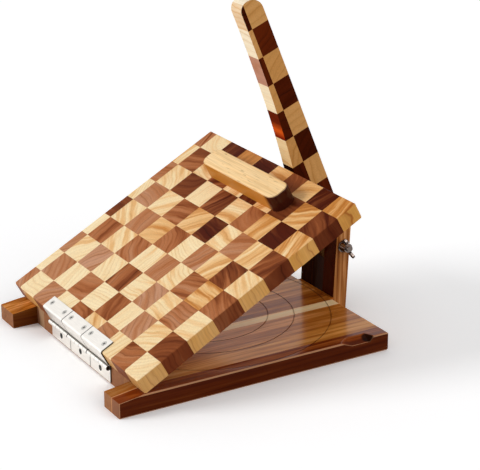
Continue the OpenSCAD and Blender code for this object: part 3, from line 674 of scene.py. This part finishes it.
# %% [markdown]
# ## Uprights and packing
# The uprights stand with the grain upright. Their outer faces are a warm light brown, and the faces that
# look at the plate and at each other are painted nearly black, as the shade beneath the plate. The packing
# strip between them and the board is a thin brown wedge. All of it is varnished acacia like the board, but
# only thinly, so it gleams softly.
# %% Uprights and packing
# Painted shade on the faces that look at the plate and at each other
POST_PAINTED_SHADE = {"right": [((0, -1, 0), "#4c1a08", 0.97), ((-1, 0, 0), "#230702", 0.9)],
              "left": [((0, -1, 0), "#230702", 0.97), ((1, 0, 0), "#230702", 0.96)]}
POST = [(0.0, "#e2a46c"), (0.35, "#b07038"), (0.7, "#80461c"), (1.0, "#52220b")]
THIN_COATS = (0.1, 0.1)
upright_woods = {}
for side, tints_and_shade in POST_PAINTED_SHADE.items():
    upright_woods[side] = plank_wood("acacia post, varnished, " + side, "Z", POST, heart=(0.05, 0.22),
                                     ring_mm=6.0, seed=21.0, coats=THIN_COATS, tints_and_shade=tints_and_shade)
packing_wood = plank_wood("acacia packing, varnished", "X", BROWN, heart=(0.03, 0.2), ring_mm=5.0, seed=23.0,
                          coats=THIN_COATS)
print("upright woods:", len(upright_woods), packing_wood.name)

# %% [markdown]
# ## Metals
# Bare metal takes its colour from what it reflects, tinted by its own, so its surface is told by how rough
# it is. Scratches vary that a little, drawn far coarser than they are so that they show. Painted shade makes
# the slots in a screw's head dark, so there the colour follows the depth below the head's face.
# %% Bare metal
# Depths below a head's face where the painted shade in its slots starts and is full
SLOT_TOP = -0.03 * MM
SLOT_BOTTOM = -0.2 * MM
ROUGHNESS_SPREAD = 0.05


def metal(name, hex_colour, roughness, brush_mm, bump_mm, brushed=(1, 1, 1), slots=None, finish_and_painted_light=None):
    """Bare metal with fine scratches. slots is a point on the heads' face and the direction it looks in, and
    below that face painted shade darkens the slots.
    """
    material, tree, shader = new_material(name)
    place = add(tree, "TexCoord", out="Object")
    stretched = add(tree, "VectorMath", {0: place, 1: brushed}, operation="MULTIPLY")
    scratches = add(tree, "TexNoise", {"Vector": stretched, "Scale": 1 / (brush_mm * MM), "Detail": 3.0})
    shade = add(tree, "MapRange", {"Value": scratches, **NOISE_RANGE, "To Min": 0.93, "To Max": 1.04})
    grey = add(tree, "CombineXYZ", {0: shade, 1: shade, 2: shade})
    colour = add(tree, "VectorMath", {0: grey, 1: linear(hex_colour)[:3]}, operation="MULTIPLY")
    if slots:
        below = add(tree, "VectorMath", {0: place, 1: slots[0]}, operation="SUBTRACT")
        below = add(tree, "VectorMath", {0: below, 1: slots[1]}, "Value", operation="DOT_PRODUCT")
        slot_shade = add(tree, "MapRange", {"Value": below, "From Min": SLOT_BOTTOM, "From Max": SLOT_TOP,
                                            "To Min": 0.0})
        grey = add(tree, "CombineXYZ", {0: slot_shade, 1: slot_shade, 2: slot_shade})
        colour = add(tree, "VectorMath", {0: colour, 1: grey}, operation="MULTIPLY")
    # The optional step adds painted shade and reflections
    if finish_and_painted_light:
        colour = finish_and_painted_light(tree, place, colour)
    rough = add(tree, "MapRange", {"Value": scratches, "To Min": roughness - ROUGHNESS_SPREAD,
                                   "To Max": roughness + ROUGHNESS_SPREAD})
    return finish_material(material, tree, shader, colour, rough, scratches, bump_mm, Metallic=1.0)


print("metal ready")

# %% [markdown]
# ## Hinges and bolt
# The hinges are folded from thin stainless sheet. Its satin finish is bright and soft all over, so what
# draws them is a painted dark reflection on the sheared edges and a line of painted shade above the knuckles.
# The bolt and its wing nut are polished: on such a small bright thing the eye sees the pale room above it and
# the dark wood below it, and its colour paints that reflection, darker on the faces that look down.
# %% Painted shade and reflections of hinges and bolt
# Where the line of painted shade lies above the hinge pins
KNUCKLE_LINE = 2.6 * MM
# Square to the line between a leaf and its knuckles
UP_THE_LEAF = (0, -0.24, 0.97)


def leaf_painted_shade_and_reflection(tree, place, colour):
    """Paints a dark reflection on the leaves' sheared edges, and a line of painted shade where they meet the
    knuckles.
    """
    sideways = add(tree, "SeparateXYZ", {0: add(tree, "TexCoord", out="Normal")}, 0)
    sideways = add(tree, "Math", {0: sideways}, operation="ABSOLUTE")
    unshaded = add(tree, "MapRange", {"Value": sideways, "From Min": 0.6, "From Max": 0.9,
                                   "To Min": 1.0, "To Max": 0.08})
    height = add(tree, "VectorMath", {0: place, 1: PIN}, operation="SUBTRACT")
    height = add(tree, "VectorMath", {0: height, 1: UP_THE_LEAF}, "Value", operation="DOT_PRODUCT")
    off = add(tree, "Math", {0: add(tree, "Math", {0: height, 1: -KNUCKLE_LINE})}, operation="ABSOLUTE")
    line = add(tree, "MapRange", {"Value": off, "From Min": 0.15 * MM, "From Max": 0.45 * MM,
                                  "To Min": 0.06})
    unshaded = add(tree, "Math", {0: unshaded, 1: line}, operation="MULTIPLY")
    unshaded = add(tree, "CombineXYZ", {0: unshaded, 1: unshaded, 2: unshaded})
    return add(tree, "VectorMath", {0: colour, 1: unshaded}, operation="MULTIPLY")


def bolt_painted_reflection(tree, place, colour):
    """Paints the reflection: the faces that look down are darkened as if they mirrored dark wood, and the
    others keep the pale room.
    """
    upwards = add(tree, "SeparateXYZ", {0: add(tree, "TexCoord", out="Normal")}, 2)
    # Painted reflection, darker as a face turns down
    shade = add(tree, "MapRange", {"Value": upwards, "From Min": -0.3, "From Max": 0.5, "To Min": 0.12})
    shade = add(tree, "CombineXYZ", {0: shade, 1: shade, 2: shade})
    return add(tree, "VectorMath", {0: colour, 1: shade}, operation="MULTIPLY")


print("metal finishes ready")

# %% [markdown]
# ## The four metals
# Satin stainless sheet looks almost white in a pale room. Bright zinc plating is a shade darker, with a
# soft gleam. The dull steel of the pins and of most heads is nearly black, partly its own colour and partly
# painted shade where they sit, and polished nickel is the only one with clear reflections.
# %% Metals
upwards = plate_turn @ Vector((0, 0, 1))
head_face = PIN + upwards * (PLATE_TOP + LEAF_T)
hinge_steel = metal("stainless sheet, satin", "#f1ece5", roughness=0.38, brush_mm=0.8, bump_mm=0.01,
                    brushed=(0.08, 1, 1), finish_and_painted_light=leaf_painted_shade_and_reflection)
leaf_screw = metal("zinc-plated screws in the upper leaves", "#c9c6c0", roughness=0.3, brush_mm=0.8,
                   bump_mm=0.01, slots=(head_face, upwards))
# Nearly black: dull steel, and painted shade where the heads and pins sit
dark_screw_and_shade = metal("steel screw head, dull, with painted shade", "#3a3632", roughness=0.45, brush_mm=0.8, bump_mm=0.01)
bolt_chrome = metal("nickel-plated steel, polished", "#b0a098", roughness=0.1, brush_mm=1.5, bump_mm=0.003,
                    finish_and_painted_light=bolt_painted_reflection)
print("metals:", hinge_steel.name, leaf_screw.name, dark_screw_and_shade.name, bolt_chrome.name)

# %% [markdown]
# ## Dress the CAD nodes
# A node whose shape is right keeps its mesh, and only gets its material. The names are those of the CAD
# model, where each piece that is separate on the real press is a node of its own.
# %% Materials on the nodes


def dress(names, material):
    """Gives each named CAD node this material."""
    for name in names:
        for material_slot in nodes[name].material_slots:
            material_slot.material = material


for node, material in strip_woods.items():
    dress([node], material)
dress(["plate_light_blocks"], light_block)
dress(["plate_dark_blocks"], dark_block)
dress(["lever_light_blocks"], light_lever)
dress(["lever_dark_blocks"], dark_lever)
dress(["packing_strip"], packing_wood)
for number in (1, 2, 3):
    dress(["upper_leaf_%d" % number, "lower_leaf_%d" % number], hinge_steel)
    dress(["hinge_pin_%d" % number], dark_screw_and_shade)
dress(["upper_leaf_screws"], leaf_screw)
dress(["lower_leaf_screws", "press_bar_screws", "upright_screws"], dark_screw_and_shade)
dress(["pivot_bolt", "washer_right", "washer_left", "wing_nut"], bolt_chrome)
print("dressed nodes:", len(nodes))

# %% [markdown]
# ## Sanded edges
# The maker breaks the edges that a hand holds with sandpaper. The Bevel node could fake that in the light,
# but an outline would still be sharp, and a modifier would round the holes too. So the bar, the uprights
# and the base's outer strips are copied, their triangles are joined to whole faces again, and a rounded
# bevel runs along the chosen edges.
# %% A copy with softened edges
SHARP_ANGLE = math.radians(40)
SHADE_ANGLE = math.radians(25)
FLAT_ANGLE = math.radians(0.5)
MERGE = 0.001 * MM


def softened(name, node, body, material, width_mm, wanted):
    """A copy of a CAD node with the wanted sharp edges rounded, in place of the node."""
    mesh = bmesh.new()
    mesh.from_mesh(nodes[node].data)
    bmesh.ops.remove_doubles(mesh, verts=mesh.verts, dist=MERGE)
    bmesh.ops.dissolve_limit(mesh, angle_limit=FLAT_ANGLE, verts=mesh.verts, edges=mesh.edges)
    sharp = [edge for edge in mesh.edges if len(edge.link_faces) == 2
             and edge.calc_face_angle() > SHARP_ANGLE and wanted(edge)]
    bmesh.ops.bevel(mesh, geom=sharp, offset=width_mm * MM, segments=3, profile=0.5, affect="EDGES",
                    material=-1, clamp_overlap=True)
    for face in mesh.faces:
        face.smooth = True
    data = bpy.data.meshes.new(name)
    mesh.to_mesh(data)
    mesh.free()
    data.set_sharp_from_angle(angle=SHADE_ANGLE)
    data.materials.append(material)
    piece = bpy.data.objects.new(name, data)
    bpy.context.scene.collection.objects.link(piece)
    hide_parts(node)
    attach(piece, body)
    return piece


print("softener ready")

# %% [markdown]
# ## Which edges are sanded
# Only the edges that a hand meets: the rim of the bar's top, the long edges and the round head of the
# uprights, and the base's outline, apart from its bottom edges. The holes for bolt and screws stay sharp.
# %% The sanded pieces
CLOSE = 0.1 * MM
BAR_ROUND_MM = 1.6
BOARD_ROUND_MM = 0.8
POST_HEAD_Z = 80 * MM
LONG_EDGE = 12 * MM


def on_bar_top(edge):
    """The rim of the bar's top face."""
    return all((vertex.co - PIN).dot(upwards) > PLATE_TOP + BAR_H - CLOSE for vertex in edge.verts)


def on_post_outline(edge):
    """An upright's head and its long edges."""
    return all(vertex.co.z > POST_HEAD_Z for vertex in edge.verts) or edge.calc_length() > LONG_EDGE


def on_board_outline(edge):
    """The base's outer sides and the prongs' ends, above the underside."""
    outer = all(abs(vertex.co.x) > BASE_L / 2 - CLOSE for vertex in edge.verts)
    front = all(vertex.co.y < RECESS_Y - PRONG_L + CLOSE for vertex in edge.verts)
    return (outer or front) and any(vertex.co.z > 1 * MM for vertex in edge.verts)


sanded = [softened("press_bar_sanded", "press_bar", "plate", bar_wood, BAR_ROUND_MM, on_bar_top)]
for side, wood in upright_woods.items():
    sanded.append(softened("upright_sanded_" + side, "upright_" + side, "base", wood,
                           BOARD_ROUND_MM, on_post_outline))
for node in ("base_strip_1", "base_strip_10"):
    sanded.append(softened(node + "_sanded", node, "base", strip_woods[node], BOARD_ROUND_MM,
                           on_board_outline))
print("faces of the sanded pieces:", {piece.name: len(piece.data.polygons) for piece in sanded})

# %% [markdown]
# ## The floor
# The press stands on a white sweep. To the camera and in reflections the floor is lifted to nearly white by
# a weak glow of its own, which fades close to the press as a painted contact shadow, so the shadow it stands
# in is kept. That glow lights nothing. More light would whiten the floor too, but would wash out the wood.
# %% Floor
FLOOR_HALF = 4.0
FLOOR_LIFT = 0.26
SHADOW_REACH = 0.11
SHOWN_RAYS = ("Is Camera Ray", "Is Glossy Ray", "Is Transmission Ray")


def seen_directly(tree):
    """1 for rays from the camera, from mirrors and through glass, else 0."""
    shown = [add(tree, "LightPath", out=name) for name in SHOWN_RAYS]
    both = add(tree, "Math", {0: shown[0], 1: shown[1]}, operation="MAXIMUM")
    return add(tree, "Math", {0: both, 1: shown[2]}, operation="MAXIMUM")


mesh = bmesh.new()
bmesh.ops.create_grid(mesh, x_segments=1, y_segments=1, size=FLOOR_HALF)
floor_data = bpy.data.meshes.new("floor")
mesh.to_mesh(floor_data)
mesh.free()
floor = bpy.data.objects.new("floor", floor_data)
bpy.context.scene.collection.objects.link(floor)
floor_paint, tree, shader = new_material("white studio sweep")
shader.inputs["Base Color"].default_value = linear("#fcfcfd")
shader.inputs["Roughness"].default_value = 1.0
shader.inputs["Specular IOR Level"].default_value = 0.0
# The glow fades where the press is close, a painted contact shadow
near = add(tree, "AmbientOcclusion", {"Distance": SHADOW_REACH}, "AO", samples=8)
lift = add(tree, "Math", {0: near, 1: FLOOR_LIFT}, operation="MULTIPLY")
lift = add(tree, "Math", {0: seen_directly(tree), 1: lift}, operation="MULTIPLY")
both = add(tree, "AddShader", {0: shader.outputs[0], 1: add(tree, "Emission", {"Strength": lift})})
tree.links.new(both, tree.nodes["Material Output"].inputs[0])
floor_data.materials.append(floor_paint)
print("floor ready")

# %% [markdown]
# ## The light
# The key light comes from the hinges' side, a little from the left and low, so the lever's front and the
# plate are bright and the sides that face the camera are calmer. A weaker fill light from the right opens
# the shadows on those sides. Both are sun lamps with a wide disc, which light the floor evenly and still
# give soft shadows, like large soft boxes far away. The world shows as white to the camera and in
# reflections, but lights the press at a plain level.
# %% World and lamps
AMBIENT = 0.44
# Name, strength, width of the disc in degrees and the direction it comes from
LAMPS = [("key light", 1.75, 24, (-0.35, -0.85, 0.4)), ("fill light", 0.7, 50, (0.75, 0.3, 0.5))]

world = bpy.data.worlds.new("white studio")
bpy.context.scene.world = world
world.use_nodes = True
tree = world.node_tree
level = add(tree, "MapRange", {"Value": seen_directly(tree), "To Min": AMBIENT, "To Max": 1.0})
backdrop = tree.nodes["Background"]
backdrop.inputs["Color"].default_value = (1, 1, 1, 1)
tree.links.new(level, backdrop.inputs["Strength"])

for name, energy, width, direction in LAMPS:
    lamp = bpy.data.lights.new(name, "SUN")
    lamp.energy = energy
    lamp.angle = math.radians(width)
    lamp_object = bpy.data.objects.new(name, lamp)
    lamp_object.rotation_euler = (-Vector(direction)).to_track_quat("-Z", "Y").to_euler()
    bpy.context.scene.collection.objects.link(lamp_object)
print("lamps:", len(LAMPS))

# %% [markdown]
# ## The camera
# It stands a metre and a half away behind a long lens, as product photographers like, and looks from beside
# the hinged end, a little above the plate. The lens is given in pixels of the picture's width, and the
# sensor's width turns it to millimetres.
# %% Camera
FRAME_PX = 480
FOCAL_PX = 1646.33
SENSOR_MM = 36
AZIMUTH = math.radians(59.1447)
ELEVATION = math.radians(20.4852)
DISTANCE = 1.564238
TARGET = Vector((-0.000624, 0.055413, 0.089514))
back = Vector((math.sin(AZIMUTH) * math.cos(ELEVATION), -math.cos(AZIMUTH) * math.cos(ELEVATION),
               math.sin(ELEVATION)))
lens = bpy.data.cameras.new("camera")
lens.sensor_width = SENSOR_MM
lens.lens = FOCAL_PX / FRAME_PX * SENSOR_MM
camera = bpy.data.objects.new("camera", lens)
camera.location = TARGET + back * DISTANCE
camera.rotation_euler = (-back).to_track_quat("-Z", "Y").to_euler()
bpy.context.scene.collection.objects.link(camera)
bpy.context.scene.camera = camera
bpy.context.scene.view_settings.view_transform = "Standard"
print("camera at", tuple(round(v, 3) for v in camera.location))
